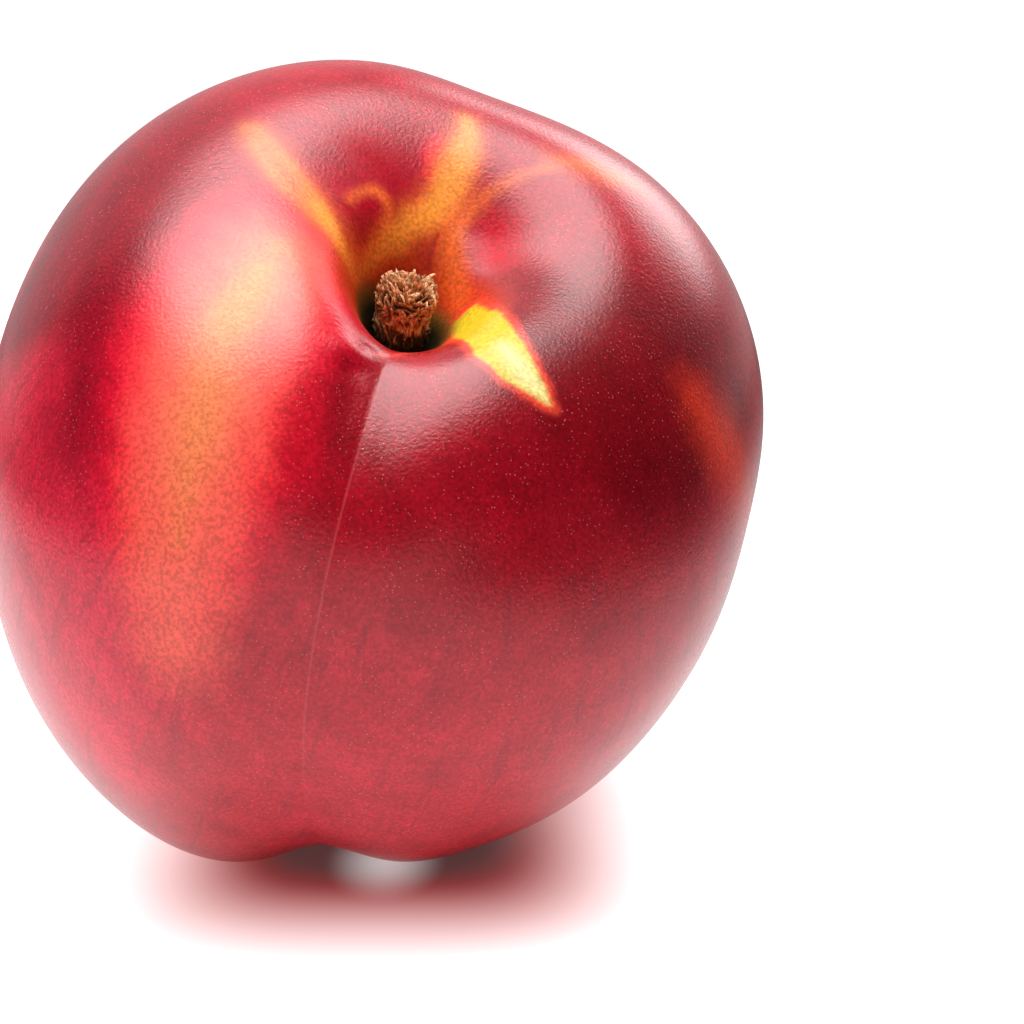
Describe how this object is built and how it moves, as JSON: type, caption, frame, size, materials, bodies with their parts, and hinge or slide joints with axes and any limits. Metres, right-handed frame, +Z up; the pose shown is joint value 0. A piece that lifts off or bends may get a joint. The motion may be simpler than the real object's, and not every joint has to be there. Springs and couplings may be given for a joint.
{
  "type": "nectarine",
  "caption": "Ripe whole nectarine lying on its two lower lobes, with suture, deep stem cavity and torn stalk stub; loose fruit for a bowl, table or crate.",
  "frame": {"origin": "centre of the bounding box's bottom face, on the plane the fruit rests on", "axes": "+Z up as the fruit lies at rest; -Y the front, where the suture runs down and toward which the stem end tips; +X to the right seen from the front"},
  "size_m": [0.0706, 0.0762, 0.0713],
  "materials": {
    "skin": "smooth satin fruit skin, crimson to pink with yellow streaks, patches and fine pale dots",
    "stem_wood": "dry, rough, torn brown stalk fibres, dark olive at the base"
  },
  "bodies": {
    "root": {"nectarine_fruit": "skin", "stem_stub": "stem_wood"}
  },
  "joints": []
}
